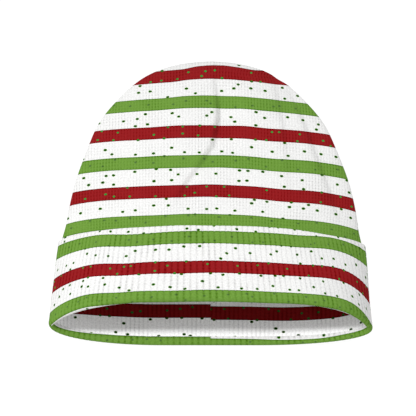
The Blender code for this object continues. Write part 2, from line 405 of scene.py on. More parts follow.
def make_piece(name, rings, cloth, under_cells, closed, ends=(), inner_bands=0):
    """One closed mesh from rings of points. Neighbouring rings are joined by a band of four-sided faces.
    A closed piece joins its last ring to its first, as a hoop does, and otherwise an end point closes
    the first ring and the last one with triangles. cloth has a row for each ring, plus one for the
    join of a closed piece, and three columns more than a ring has points. The first inner_bands of
    faces, and the end that they start from, take the piece's second material."""
    count = rings.shape[1]
    rows = np.append(np.arange(len(rings)), 0) if closed else np.arange(len(rings))
    here = np.arange(count)
    there = (here + 1) % count
    before = here + (here >= under_cells) + (here >= count - under_cells)
    after = before + 1
    low = rows[:-1, None] * count
    high = rows[1:, None] * count
    quads = np.stack([low + here, low + there, high + there, high + here], axis=-1).reshape(-1, 4)
    places = np.stack([cloth[:-1, before], cloth[:-1, after], cloth[1:, after], cloth[1:, before]], axis=2)
    faces = quads.tolist()
    finish = [1] * (inner_bands * count) + [0] * (len(faces) - inner_bands * count)
    corners = [places.reshape(-1, 2)]
    points = [rings.reshape(-1, 3)]
    if not closed:
        first = len(rings) * count
        last = first + 1
        final = first - count
        points.append(np.array(ends))
        faces += np.stack([np.full(count, first), there, here], axis=-1).tolist()
        corners.append(np.stack([cloth[0, before], cloth[0, after], cloth[0, before]], 1).reshape(-1, 2))
        faces += np.stack([final + here, final + there, np.full(count, last)], axis=-1).tolist()
        corners.append(np.stack([cloth[-1, before], cloth[-1, after], cloth[-1, after]], 1).reshape(-1, 2))
        finish += [1] * count + [0] * count
    mesh = bpy.data.meshes.new(name)
    mesh.from_pydata(np.concatenate(points), [], faces)
    mesh.uv_layers.new(name=CLOTH_MAP).data.foreach_set("uv", np.concatenate(corners).ravel())
    mesh.polygons.foreach_set("material_index", finish)
    mesh.shade_smooth()
    mesh.set_sharp_from_angle(angle=SHARP_ANGLE)
    print(f"{name}: {len(rings)} rings of {count} points, {len(faces)} faces")
    return put_in_scene(name, mesh)


print("Each piece's map is called", CLOTH_MAP)

# %% [markdown]
# ## Where the print lies
#
# Printed cloth is never sewn up quite level, and a knit stretches where it is pulled over a form. So
# each side of the cloth has a table of small shifts, of up to 8 mm, that move its stripes to where they
# lie on the real hat. The stripes could be drawn level in the material instead, but then they would
# run straight through every seam.

# %% The print's layout on each piece
Print = namedtuple("Print", "green_edge pitch width")
BODY_PRINT = Print(green_edge=83.1 * MM, pitch=27.6 * MM, width=11.8 * MM)
CUFF_PRINT = Print(green_edge=9.5 * MM, pitch=28.0 * MM, width=11.8 * MM)

# How far the print is shifted towards the rim, in millimetres at even places round the hat: from the
# back seam to the left fold, across the front, and from the right fold to the back seam. The front has
# two rows, for the lower and the upper end of the cloth. The back can jump, because seams join it.
Shift = namedtuple("Shift", "back_left front_low front_high back_right")
BODY_SHIFT = Shift(
    back_left=(1.2, 1.2),
    front_low=(-1.6, -0.9, 0.2, 0.4, 0.2, 0.8, 2.8, 2.2, 2.3),
    front_high=(3.4, 4.3, 3.8, 1.0, 0.3, 0.2, 1.0, 3.0, 1.6),
    back_right=(1.2, 1.2),
)
INSIDE_SHIFT = Shift(
    back_left=(0.0, 0.0, -0.3, -2.0, -8.0),
    front_low=(0.0, 0.0),
    front_high=(0.0, 0.0),
    back_right=(-2.0, -3.6, -3.2, -2.1, -1.7),
)
CUFF_SHIFT = Shift(
    back_left=(6.5, 6.6, 6.6, 6.3, 5.1, 3.9),
    front_low=(-0.4, -2.2, 1.1, 1.1, 0.5, 0.9, 1.5, 0.2, 7.2),
    front_high=(-0.2, -0.6, 1.9, 1.1, 0.4, 0.9, 0.8, -2.4, 0.2),
    back_right=(5.1, 4.5, 3.4, 3.8, 4.8, 5.2),
)


def print_shift(shift, top_shares, under_shares, upward):
    """The print's shift at every place on the cloth: smooth curves through the given shifts, which are
    in millimetres. upward is each row's place on the front, 0 where front_low holds and 1 where
    front_high does."""
    upward = np.clip(upward, 0.0, 1.0)[:, None]
    low = even_curve(shift.front_low, top_shares)
    high = even_curve(shift.front_high, top_shares)
    front = low * (1 - upward) + high * upward
    left = even_curve(shift.back_left, under_shares) + 0 * upward
    right = even_curve(shift.back_right, under_shares) + 0 * upward
    return np.concatenate([left, front, right], axis=1) * MM


print(f"Stripes are {BODY_PRINT.width / MM:.1f} mm wide, {BODY_PRINT.pitch / MM:.1f} mm apart")

# %% [markdown]
# ## The crown
#
# The crown is the hat's body: two layers sewn together round the dome, one of them on the floor. Its
# outer rings run from the cuff's lap by the rim to the crown's end, closer together where the end turns
# round. The inner side is the same rings moved in by the wall. Near the rim they move square to their
# own cut, so that they meet the cuff's lap, and at the crown's end square to the surface. The sewn
# edge is a shallow groove, since its allowance is turned to the inside. The back seam shows only as a
# jump in the print.
#
# A Solidify modifier could make the wall, but the inside needs its own print and far fewer rings.

# %% The crown's stations
TOP_CELLS = 240
UNDER_CELLS = 90
UNDER_CUFF_RINGS = 18
BODY_RINGS = 84
NOSE_RINGS = 40
CUFF_EDGE_MARGIN = 6.0 * MM
NOSE_SHARE = 0.13


def crown_stations():
    """Even steps under the cuff and along the body, then the sine of an even angle round the end."""
    edge = CUFF_HEIGHT - CUFF_EDGE_MARGIN
    nose = LENGTH * (1 - NOSE_SHARE)
    turn = np.sin(np.linspace(0.0, np.pi / 2, NOSE_RINGS + 1))
    return np.concatenate([
        np.linspace(RIM_LAP, edge, UNDER_CUFF_RINGS, endpoint=False),
        np.linspace(edge, nose, BODY_RINGS, endpoint=False),
        nose + (LENGTH - nose) * turn[:-1],
    ])


def on_front(count, under_cells):
    """Which of a ring's points lie on the front layer, with both folds counted in."""
    point = np.arange(count)
    return (point >= under_cells) & (point <= count - under_cells)


print(f"{len(crown_stations())} stations along the crown")

# %% The crown's outer and inner side
WALL = 2.4 * MM
EDGE_TUCK = 0.006
EDGE_TUCK_AT = 76.0 * MM
EDGE_TUCK_WIDTH = 9.0 * MM
SEAM_DEPTH = 0.45 * MM
SEAM_WIDTH = 1.3 * MM
SEAM_FADE = 9.0 * MM
TURN_SQUARE_FROM = 0.55
TURN_SQUARE_OVER = 0.35


def square_to_surface(points):
    """Unit vectors square to a grid of points: the cross product of its two directions."""
    round_it = np.roll(points, -1, axis=1) - np.roll(points, 1, axis=1)
    along_it = np.gradient(points, axis=0)
    normal = np.cross(round_it, along_it)
    return normal / np.linalg.norm(normal, axis=-1, keepdims=True)


def sewn_edge(rings, half_width):
    """1 on the sewn edge and a bell curve of the running length from it, faded out by another bell curve
    where the crown's end gets narrow."""
    from_fold = np.concatenate([rings.under_left[:, -1:] - rings.under_left[:, :-1],
                                rings.top[:, -1:] - np.abs(rings.top[:, :-1]),
                                rings.under_right[:, :1] - rings.under_right[:, :-1]], axis=1)
    return np.exp(-((from_fold / SEAM_WIDTH) ** 2)) * (1 - np.exp(-((half_width / SEAM_FADE) ** 2)))


def crown_sides(rings, along, height, half_width, wall):
    """The inner and the outer side's points. The right side is tucked in a little at the cuff's edge, and
    the wall turns smoothly from square to its cut to square to the surface."""
    tucked = EDGE_TUCK * np.exp(-(((along - EDGE_TUCK_AT) / EDGE_TUCK_WIDTH) ** 2))
    surface = placed(np.where(rings.x > 0, rings.x * (1 - tucked), rings.x), along, height)
    in_cut = np.stack([rings.out_x, np.zeros_like(rings.x), rings.out_z], axis=-1)
    turned = smooth_step((along - TURN_SQUARE_FROM * LENGTH) / (TURN_SQUARE_OVER * LENGTH))[..., None]
    outward = in_cut * (1 - turned) + square_to_surface(surface) * turned
    outward /= np.linalg.norm(outward, axis=-1, keepdims=True)
    inner = surface - wall[:, None] * outward
    outer = surface - (SEAM_DEPTH * sewn_edge(rings, half_width))[..., None] * outward
    return inner, outer


print(f"The crown's wall is {WALL / MM:.1f} mm, and {FOLD_PRESS * WALL / MM:.1f} mm at the side folds")

# %% The crown's place on the cloth
END_STRETCH = 3.0 * MM
END_STRETCH_FROM = 208.0 * MM
UPPER_SHIFT_POWER = 3
CREASE_TAKE_UP = 0.47
INSIDE_RED_EDGE = 20.8 * MM
INSIDE_GATHER = 1.06


def seam_columns(under_cells, top_cells):
    """For each column of the cloth, the ring's point that it belongs to: both folds' points and the
    back seam's have two columns each."""
    column = np.arange(top_cells + 2 * under_cells + 3)
    point = column - (column > under_cells) - (column > under_cells + top_cells + 1)
    return point % (top_cells + 2 * under_cells)


def crown_cloth(rings, stations, top_shares, under_shares, creased):
    """The flat cloth under the inner and the outer side. Outside, v is the station, drawn up where a
    crease takes up cloth and stretched at the end, and the upper row of shifts comes in by a power of
    the way to the crown. Inside, the cloth runs on over the rim, so v falls as the station grows, and
    a little faster, since the cloth is gathered there."""
    along = stations[:, None]
    u = np.concatenate([rings.under_left - HALF_ROUND, rings.top, HALF_ROUND - rings.under_right], axis=1)
    to_crown = (stations - CUFF_HEIGHT) / (LENGTH - CUFF_HEIGHT)
    upward = np.clip(to_crown, 0.0, 1.0) ** UPPER_SHIFT_POWER
    outside = along + print_shift(BODY_SHIFT, top_shares, under_shares, upward)
    outside = outside - CREASE_TAKE_UP * creased[:, seam_columns(UNDER_CELLS, TOP_CELLS)]
    outside = outside - END_STRETCH * smooth_step((along - END_STRETCH_FROM) / (LENGTH - END_STRETCH_FROM))
    red_edge = BODY_PRINT.green_edge - BODY_PRINT.pitch
    inside = red_edge + INSIDE_GATHER * (INSIDE_RED_EDGE - along)
    inside = inside + print_shift(INSIDE_SHIFT, top_shares, under_shares, to_crown)
    return np.stack([u, inside], axis=-1), np.stack([u, outside], axis=-1)


print(f"Inside, the red stripe begins {INSIDE_RED_EDGE / MM:.1f} mm from the rim")

# %% Make the crown
INNER_RING_STEP = 4


def make_crown():
    """Inner rings from the crown's end to the rim, every one near the rim, where the inside shows, and
    fewer beyond, then all the outer rings back to the end, so that the wall is one closed skin."""
    top_shares = np.linspace(0.0, 1.0, TOP_CELLS + 1)
    under_shares = np.linspace(0.0, 1.0, UNDER_CELLS + 1)
    stations = crown_stations()
    along = stations[:, None]
    rings = body_rings(stations, top_shares, under_shares)
    half_width = np.abs(rings.x).max(axis=1, keepdims=True)
    front = on_front(rings.x.shape[1], UNDER_CELLS)
    creased = np.where(front, crease_depth(rings.x, along, half_width), 0.0)
    height = rings.z + np.where(front, swell_height(rings.x, along, half_width), 0.0) - creased
    wall = WALL * pressed(top_shares, under_shares)
    inner, outer = crown_sides(rings, along, height, half_width, wall)
    inside, outside = crown_cloth(rings, stations, top_shares, under_shares, creased)

    spaced = np.arange(UNDER_CUFF_RINGS, len(stations), INNER_RING_STEP)
    pick = np.append(np.arange(UNDER_CUFF_RINGS), spaced)[::-1]
    tip = np.array([0.0, LENGTH / 2, CROWN_END_LIFT])
    ends = [tip - (0.0, WALL, 0.0), tip]
    sides = np.concatenate([inner[pick], outer])
    cloth = np.concatenate([inside[pick], outside])
    return make_piece("printed_crown", sides, cloth, UNDER_CELLS, False, ends, len(pick) - 1)


crown = make_crown()

# %% [markdown]
# ## The cuff
#
# The cuff is a rib knit: broad, rounded columns with a narrow groove between each two. The ribs are
# broadest in the middle and drawn together towards the folds, most of all on the left. The cuff is a
# profile carried round the rim. The profile goes down the band's outer side, round the fold, up to the
# lap where the crown begins, back through the inside of the fold, up the band's hidden side and over
# its free edge. Every rib has eight points across it, so the grooves are real ones and not only
# shading. They fade out where the fold turns inwards and where the floor presses the ribs flat.

# %% The ribs
RIB_PITCH = 4.6 * MM
FRONT_RIB_WIDTHS = (0.62, 0.72, 1.00, 1.07, 1.05, 0.95, 0.82, 0.76, 0.80)
UNDER_RIB_WIDTHS = (1.0, 1.0, 0.8)
RIB_POINTS = (0.0, 0.07, 0.15, 0.3, 0.5, 0.7, 0.85, 0.93)
GROOVE_DEPTH = 0.42 * MM
GROOVE_SHARE = 0.085
RIB_CROWN = 0.10 * MM

Ribs = namedtuple("Ribs", "shares counted relief")


def ribs_along(run, widths):
    """The points of all ribs on a stretch of the rim: their shares of it, how many ribs lie before each,
    and how far each is pressed in. Ribs are counted by adding up one over the width, which is smooth
    between the given shares of RIB_PITCH. The relief is a bell-shaped groove where two ribs meet and a
    fall as the square of the distance from a rib's middle, both less by the square on narrow ribs."""
    even = np.linspace(0.0, 1.0, OUTLINE_SAMPLES)
    width = even_curve(widths, even)
    before = np.concatenate([[0.0], np.cumsum((1 / width[1:] + 1 / width[:-1]) / 2)])
    before *= run / RIB_PITCH / (OUTLINE_SAMPLES - 1)
    ribs = round(before[-1])
    counted = np.append((np.arange(ribs)[:, None] + np.array(RIB_POINTS)).ravel(), ribs)
    shares = np.interp(counted * before[-1] / ribs, before, even)
    from_groove = np.abs((counted + 0.5) % 1.0 - 0.5)
    relief = GROOVE_DEPTH * np.exp(-((from_groove / GROOVE_SHARE) ** 2))
    relief = relief + RIB_CROWN * (1 - 2 * from_groove) ** 2
    return Ribs(shares, counted, relief * np.interp(shares, even, np.minimum(width, 1.0)) ** 2)


front_ribs = ribs_along(TOP_ROUND, FRONT_RIB_WIDTHS)
under_ribs = ribs_along(UNDER_ROUND, UNDER_RIB_WIDTHS)
print(f"{front_ribs.counted[-1]:.0f} ribs across the front, {under_ribs.counted[-1]:.0f} on each half below")

# %% The cuff's profile
LAP_GAP = 0.03 * MM
BAND_RINGS = 28
FOLD_RINGS = 14
LAP_RINGS = 3
HIDDEN_RINGS = 10
EDGE_RINGS = 8


def cuff_profile():
    """The profile's rows: station, offset from the body's outer side, v on the flat cloth and share of
    the rib's depth. The fold is a half-circle that wraps the body's wall, the air gap and the cuff's
    own wall, and v is the running length along it. The free edge is a half-circle of the wall."""
    fold = (CUFF_WALL + cuff_standoff(0.0) + WALL) / 2
    middle = fold - WALL
    lap = RIM_LAP - LAP_GAP
    edge = CUFF_WALL / 2
    edge_at = CUFF_HEIGHT - edge

    down = np.linspace(edge_at, fold, BAND_RINGS)
    angle = np.linspace(0.0, np.pi, FOLD_RINGS + 1)[1:]
    to_lap = np.linspace(fold, lap, LAP_RINGS)[1:]
    back = to_lap[::-1]
    inner_angle = angle[::-1][::2]
    up = np.linspace(fold, edge_at, HIDDEN_RINGS)
    over = np.linspace(-np.pi / 2, np.pi / 2, EDGE_RINGS + 1)[1:-1]
    edge_middle = cuff_standoff(np.array(edge_at)) + edge

    fold_end = fold - fold * np.pi
    inner_fold = fold - CUFF_WALL
    hidden_v = CUFF_HEIGHT + edge * np.pi / 2
    stretches = (
        (down, CUFF_WALL + cuff_standoff(down), down, np.ones_like(down)),
        (fold - fold * np.sin(angle), middle + fold * np.cos(angle), fold - fold * angle,
         np.cos(angle / 2) ** 2),
        (to_lap, -WALL + 0 * to_lap, fold_end + fold - to_lap, 0 * to_lap),
        (back, 0 * back, fold_end + fold - back - CUFF_WALL, 0 * back),
        (fold - inner_fold * np.sin(inner_angle), middle + inner_fold * np.cos(inner_angle),
         fold_end - CUFF_WALL + 0 * inner_angle, 0 * inner_angle),
        (up, cuff_standoff(up), hidden_v + CUFF_HEIGHT - up, 0 * up),
        (edge_at + edge * np.cos(over), edge_middle + edge * np.sin(over),
         edge_at + edge * (np.pi / 2 - over), 0.5 + over / np.pi),
    )
    return [np.concatenate(column) for column in zip(*stretches)]


print(f"{len(cuff_profile()[0])} points round the cuff's profile")

# %% Make the cuff
PRESSED_SHARE = 0.03
EDGE_DROOP = (0.0, 0.0, 0.0, 0.0, 0.0, 0.0, 0.9, 2.3, 1.5)


def make_cuff():
    """The profile at every rib point. Its free edge droops on the right, by millimetres at even places
    across the front, and the droop runs out underneath. Each rib takes RIB_PITCH of the cloth's u."""
    top_shares = front_ribs.shares
    under_shares = under_ribs.shares
    stations, offset, v, rib_share = cuff_profile()
    rings = body_rings(stations, top_shares, under_shares)
    under_cells = len(under_shares) - 1
    relief = round_ring(under_ribs.relief, front_ribs.relief)
    free = np.clip((1 + rings.out_z) / PRESSED_SHARE, 0.0, 1.0)
    reach = offset[:, None] * pressed(top_shares, under_shares) - relief * rib_share[:, None] * free

    along = stations[:, None]
    half_width = np.abs(rings.x).max(axis=1, keepdims=True)
    front = on_front(rings.x.shape[1], under_cells)
    height = rings.z + np.where(front, swell_height(rings.x, along, half_width), 0.0)
    surface = placed(rings.x + rings.out_x * reach, along, height + rings.out_z * reach)
    droop = even_curve(EDGE_DROOP, top_shares) * MM
    run_out = np.linspace(droop[-1], 0.0, len(under_shares))[1:-1]
    droop = np.concatenate([0 * under_shares[1:], droop, run_out])
    surface[..., 1] -= droop * (along / CUFF_HEIGHT) ** 2

    half_front = front_ribs.counted[-1] / 2
    half_ribs = half_front + under_ribs.counted[-1]
    u = RIB_PITCH * np.concatenate([under_ribs.counted - half_ribs, front_ribs.counted - half_front,
                                    half_ribs - under_ribs.counted[::-1]])
    v = np.append(v, v[0])
    v = v[:, None] + print_shift(CUFF_SHIFT, top_shares, under_shares, v / CUFF_HEIGHT)
    cloth = np.stack([np.broadcast_to(u, v.shape), v], axis=-1)
    return make_piece("ribbed_cuff", surface, cloth, under_cells, True)


cuff = make_cuff()

# %% [markdown]
# ## Colours and a helper for nodes
#
# Colours are written as the sRGB hex values that a colour picker shows, and one function turns them
# into the linear light that Blender's nodes work in. One more small function adds any node, with its
# options and what feeds each of its sockets, so that a material reads as a list of steps.

# %% Colour and node helpers
MATHS = "ShaderNodeMath"
VECTORS = "ShaderNodeVectorMath"
NOISE = "ShaderNodeTexNoise"
MIX = "ShaderNodeMix"
MAP_RANGE = "ShaderNodeMapRange"
GAMMA = "ShaderNodeGamma"


def linear(hex_colour):
    """Each channel from 0 to 1: below a small toe it is divided by 12.92, and above it is raised to the
    power 2.4 after a small shift."""
    srgb = np.array([int(hex_colour[i:i + 2], 16) for i in (1, 3, 5)]) / 255
    channels = np.where(srgb <= 0.04045, srgb / 12.92, ((srgb + 0.055) / 1.055) ** 2.4)
    return (*channels.tolist(), 1.0)


def add(tree, kind, options, feeds):
    """Adds a node. feeds gives each socket, by name or number, a value, or a node or output to read."""
    made = tree.nodes.new(kind)
    for option, value in options.items():
        setattr(made, option, value)
    for key, source in feeds.items():
        named = (found for found in made.inputs if found.enabled and found.name == key)
        socket = made.inputs[key] if isinstance(key, int) else next(named)
        if isinstance(source, bpy.types.Node):
            source = next(found for found in source.outputs if found.enabled)
        if isinstance(source, bpy.types.NodeSocket):
            tree.links.new(source, socket)
        else:
            socket.default_value = source
    return made


print("Linear value of mid grey #808080:", round(linear("#808080")[0], 3))

# %% [markdown]
# ## The inks
#
# The cloth is white polyester, printed by heat transfer: the dye sinks in, so the colours are matt,
# even and sharp-edged. Over white a dot is dark green, over red it is a brighter green, and over green
# it hardly shows, as when one ink overprints another. So each ground has three shades: its own, that
# of a dot's edge, where the dot's ink has bled, and the dot's. The outside's white is written as a
# light grey, because lamp and sky together light it up to white. The inside's shades are the same
# print with painted light and shade: its white is painted lighter, and its red and its dots darker,
# than outside, to stand in for how the hat's inside is lit.

# %% Shades of each ink
Inks = namedtuple("Inks", "white red green")
OUTSIDE = Inks(
    white=("#dededd", "#78a252", "#184800"),
    red=("#87191c", "#58562a", "#2a9038"),
    green=("#668d39", "#597d37", "#4c6c34"),
)
# Painted light and shade: the inside's white is painted lighter, and its red ground and dots darker, than
# outside, in place of the light inside the hat.
INSIDE_PAINTED_LIGHT_AND_SHADE = Inks(
    white=("#f7f7f7", "#7c9a62", "#0c2a04"),
    red=("#701012", "#3c391b", "#086224"),
    green=("#668d39", "#597d37", "#4c6c34"),
)
GROUND, BLED, DOT = range(3)
print("Ground shades outside:", ", ".join(shades[GROUND] for shades in OUTSIDE))

# %% [markdown]
# ## The print
#
# Stripes repeat along the cloth, green and red in turn, each a fixed width below its upper edge. The
# dots are scattered by a rule, and never touch: a Voronoi texture has one point in each cell of a
# loose grid, and a dot is all that lies close to its point. Cells are wider than high, which makes the
# dots oval. Two fine noises stop the edges from being ruler-straight and the dots from being all
# alike, as the knit's loops do. The whole print could be an image, but a rule stays sharp close up.

# %% Printed stripes
# Lengths in the materials are in millimetres of cloth.
EDGE_WANDER = 0.12
WANDER_LENGTH = 1.1
EDGE_LINE = 1.4
EDGE_DEPTH = 0.11


def cloth_in_mm(tree):
    """The flat cloth's place under each point, from the piece's own map, in millimetres."""
    own_map = add(tree, "ShaderNodeUVMap", {"uv_map": CLOTH_MAP}, {})
    return add(tree, VECTORS, {"operation": "SCALE"}, {0: own_map, "Scale": 1 / MM})


def stripes(tree, cloth, layout):
    """Two masks, in a stripe and in a red one, and how much deeper the ink is, since it lies thicker
    along a stripe's edges. A stripe covers the first part, width over pitch, of each repeat below a
    green upper edge, and over two repeats the first stripe is green and the second red."""
    wander = add(tree, NOISE, {"noise_dimensions": "2D"}, {"Vector": cloth, "Scale": 1 / WANDER_LENGTH})
    place = add(tree, "ShaderNodeSeparateXYZ", {}, {0: cloth})
    offset = add(tree, MATHS, {"operation": "MULTIPLY_ADD"},
                 {0: wander, 1: EDGE_WANDER, 2: layout.green_edge / MM - EDGE_WANDER / 2})
    below = add(tree, MATHS, {"operation": "SUBTRACT"}, {0: offset, 1: place.outputs["Y"]})
    repeats = add(tree, MATHS, {"operation": "DIVIDE"}, {0: below, 1: layout.pitch / MM})
    share = add(tree, MATHS, {"operation": "FRACT"}, {0: repeats})
    half_stripe = layout.width / layout.pitch / 2
    past_middle = add(tree, MATHS, {"operation": "SUBTRACT"}, {0: share, 1: half_stripe})
    from_middle = add(tree, MATHS, {"operation": "ABSOLUTE"}, {0: past_middle})
    in_stripe = add(tree, MATHS, {"operation": "LESS_THAN"}, {0: from_middle, 1: half_stripe})
    near_edge = add(tree, MAP_RANGE, {"interpolation_type": "SMOOTHSTEP"},
                    {"Value": from_middle, "From Min": half_stripe - EDGE_LINE * MM / layout.pitch,
                     "From Max": half_stripe, "To Max": EDGE_DEPTH})
    edge_depth = add(tree, MATHS, {"operation": "MULTIPLY"}, {0: near_edge, 1: in_stripe})
    pairs = add(tree, MATHS, {"operation": "MULTIPLY"}, {0: repeats, 1: 0.5})
    pair_share = add(tree, MATHS, {"operation": "FRACT"}, {0: pairs})
    in_red = add(tree, MATHS, {"operation": "GREATER_THAN"}, {0: pair_share, 1: 0.5})
    return in_stripe, in_red, edge_depth


print(f"A stripe's edges wander over {EDGE_WANDER} mm and are deeper for {EDGE_LINE} mm")

# %% Printed dots
DOT_CELL = (12.6, 10.8)
DOT_SCATTER = 0.78
DOT_RADIUS_SHARE = 0.079
DOT_RADIUS_SPREAD = 0.016
DOT_LESS_ON_STRIPES = 0.020
DOT_BLEED = 0.024
RAGGED_LENGTH = 0.8
RAGGED_MOVE = 0.5


def dots(tree, cloth, in_stripe):
    """Two masks: in a dot with its bled edge, and in the dot itself. A dot's radius is a share of its
    cell, with a spread of its own, and is a little less on a stripe."""
    ragged = add(tree, NOISE, {"noise_dimensions": "2D"}, {"Vector": cloth, "Scale": 1 / RAGGED_LENGTH})
    moved = add(tree, VECTORS, {"operation": "MULTIPLY_ADD"},
                {0: ragged.outputs["Color"], 1: (RAGGED_MOVE, RAGGED_MOVE, 0.0), 2: cloth})
    cells = add(tree, VECTORS, {"operation": "DIVIDE"}, {0: moved, 1: (*DOT_CELL, 1.0)})
    points = add(tree, "ShaderNodeTexVoronoi", {"voronoi_dimensions": "2D", "feature": "F1"},
                 {"Vector": cells, "Scale": 1.0, "Randomness": DOT_SCATTER})
    radius = add(tree, MATHS, {"operation": "MULTIPLY_ADD"},
                 {0: points.outputs["Color"], 1: DOT_RADIUS_SPREAD, 2: DOT_RADIUS_SHARE})
    here = add(tree, MATHS, {"operation": "MULTIPLY_ADD"},
               {0: in_stripe, 1: -DOT_LESS_ON_STRIPES, 2: radius})
    bled = add(tree, MATHS, {"operation": "ADD"}, {0: here, 1: DOT_BLEED})
    return [add(tree, MATHS, {"operation": "LESS_THAN"}, {0: points.outputs["Distance"], 1: reach})
            for reach in (bled, here)]


print(f"One dot for every {DOT_CELL[0] * DOT_CELL[1]:.0f} square millimetres of cloth")

# %% The whole print
def printed_colour(tree, cloth, layout, inks):
    """The print, laid down shade by shade from ground to dot, and how much deeper its ink is at edges."""
    in_stripe, in_red, edge_depth = stripes(tree, cloth, layout)
    colour = None
    for shade, mask in zip((GROUND, BLED, DOT), [None, *dots(tree, cloth, in_stripe)]):
        white, red, green = (linear(shades[shade]) for shades in inks)
        stripe_ink = add(tree, MIX, {"data_type": "RGBA"}, {"Factor": in_red, "A": green, "B": red})
        layer = add(tree, MIX, {"data_type": "RGBA"}, {"Factor": in_stripe, "A": white, "B": stripe_ink})
        if mask is None:
            colour = layer
        else:
            colour = add(tree, MIX, {"data_type": "RGBA"}, {"Factor": mask, "A": colour, "B": layer})
    return colour, edge_depth


print("The print has", len(Inks._fields), "grounds, each in", len(OUTSIDE.white), "shades")

# %% [markdown]
# ## The stitches
#
# Knitting is rows of loops. The columns are called wales and the rows courses, and all three knits
# here draw them from the same two saw-tooth waves: one across the cloth at the wale's width, and one
# along it at the course's height, pushed up beside each wale so that the loops look like Vs. Where both
# waves are at their gaps the cloth has its small dark holes. A normal map from a photograph would
# show finer yarn, but not at the right place on the seams.
#
# A gap in coloured knitting isn't greyer, it is deeper in colour, because light goes from yarn to yarn
# before it gets out. So a gap takes the same amount off red, green and blue, as a screen shows them,
# and the weaker channels go dark first.

# %% Wales and courses
# Wales and courses are in millimetres. The wales are as far apart as the real hat's columns look. The
# courses are drawn about twice as coarse as a fine knit's, so that they show in the render.
Stitch = namedtuple("Stitch", "wale course wale_gap course_gap dashed depth relief")
BODY_STITCH = Stitch(2.33, 3.0, 0.40, 0.30, 0.70, 0.13, 0.12 * MM)
INSIDE_STITCH = Stitch(3.3, 2.6, 0.35, 0.40, 0.45, 0.125, 0.12 * MM)
CUFF_STITCH = Stitch(RIB_PITCH / MM, 3.4, 0.36, 0.30, 0.55, 0.132, 0.15 * MM)
LOOP_SLANT = 0.3
SCREEN_GAMMA = 2.2


def saw(tree, along, pitch):
    """0 at the middle of each repeat and 1 where two repeats meet: twice the distance from the half."""
    repeats = add(tree, MATHS, {"operation": "DIVIDE"}, {0: along, 1: pitch})
    share = add(tree, MATHS, {"operation": "FRACT"}, {0: repeats})
    from_middle = add(tree, MATHS, {"operation": "SUBTRACT"}, {0: share, 1: 0.5})
    distance = add(tree, MATHS, {"operation": "ABSOLUTE"}, {0: from_middle})
    return add(tree, MATHS, {"operation": "MULTIPLY"}, {0: distance, 1: 2.0})


def loop_gaps(tree, cloth, stitch):
    """The gaps between wales and between courses: a smooth rise from 0, at the given height of each
    saw-tooth, to 1 at its peak."""
    place = add(tree, "ShaderNodeSeparateXYZ", {}, {0: cloth})
    across = saw(tree, place.outputs["X"], stitch.wale)
    slanted = add(tree, MATHS, {"operation": "MULTIPLY_ADD"},
                  {0: across, 1: stitch.course * LOOP_SLANT, 2: place.outputs["Y"]})
    along = saw(tree, slanted, stitch.course)
    return [add(tree, MAP_RANGE, {"interpolation_type": "SMOOTHSTEP"},
                {"Value": wave, "From Min": start, "From Max": 1.0})
            for wave, start in ((across, stitch.wale_gap), (along, stitch.course_gap))]


def deepened(tree, colour, depth):
    """The colour with the depth taken off each channel, but not below nothing, between a power that
    turns linear light into screen values and the power that turns them back."""
    seen = add(tree, GAMMA, {}, {"Color": colour, "Gamma": 1 / SCREEN_GAMMA})
    less = add(tree, VECTORS, {"operation": "SUBTRACT"}, {0: seen, 1: depth})
    kept = add(tree, VECTORS, {"operation": "MAXIMUM"}, {0: less, 1: (0.0, 0.0, 0.0)})
    return add(tree, GAMMA, {}, {"Color": kept, "Gamma": SCREEN_GAMMA})


print(f"Columns are {BODY_STITCH.wale} mm apart on the body and {CUFF_STITCH.wale:.1f} mm on the cuff")

# %% The knit material
# The grain of single yarns is too fine to show, so it is drawn about twice as coarse too.
PATCH_SIZE = 18.0
PATCH_NOISE = (0.38, 0.66)
FAINTEST_PATCH = 0.25
GRAIN_SIZE = 1.25
GRAIN_DETAIL = 3.0
GRAIN_NOISE = (0.3, 0.7)
GRAIN = 0.12
COURSE_RELIEF = 0.45
RELIEF_STRENGTH = 0.6
POLYESTER_IOR = 1.57
KNIT_GLOSS = 0.04


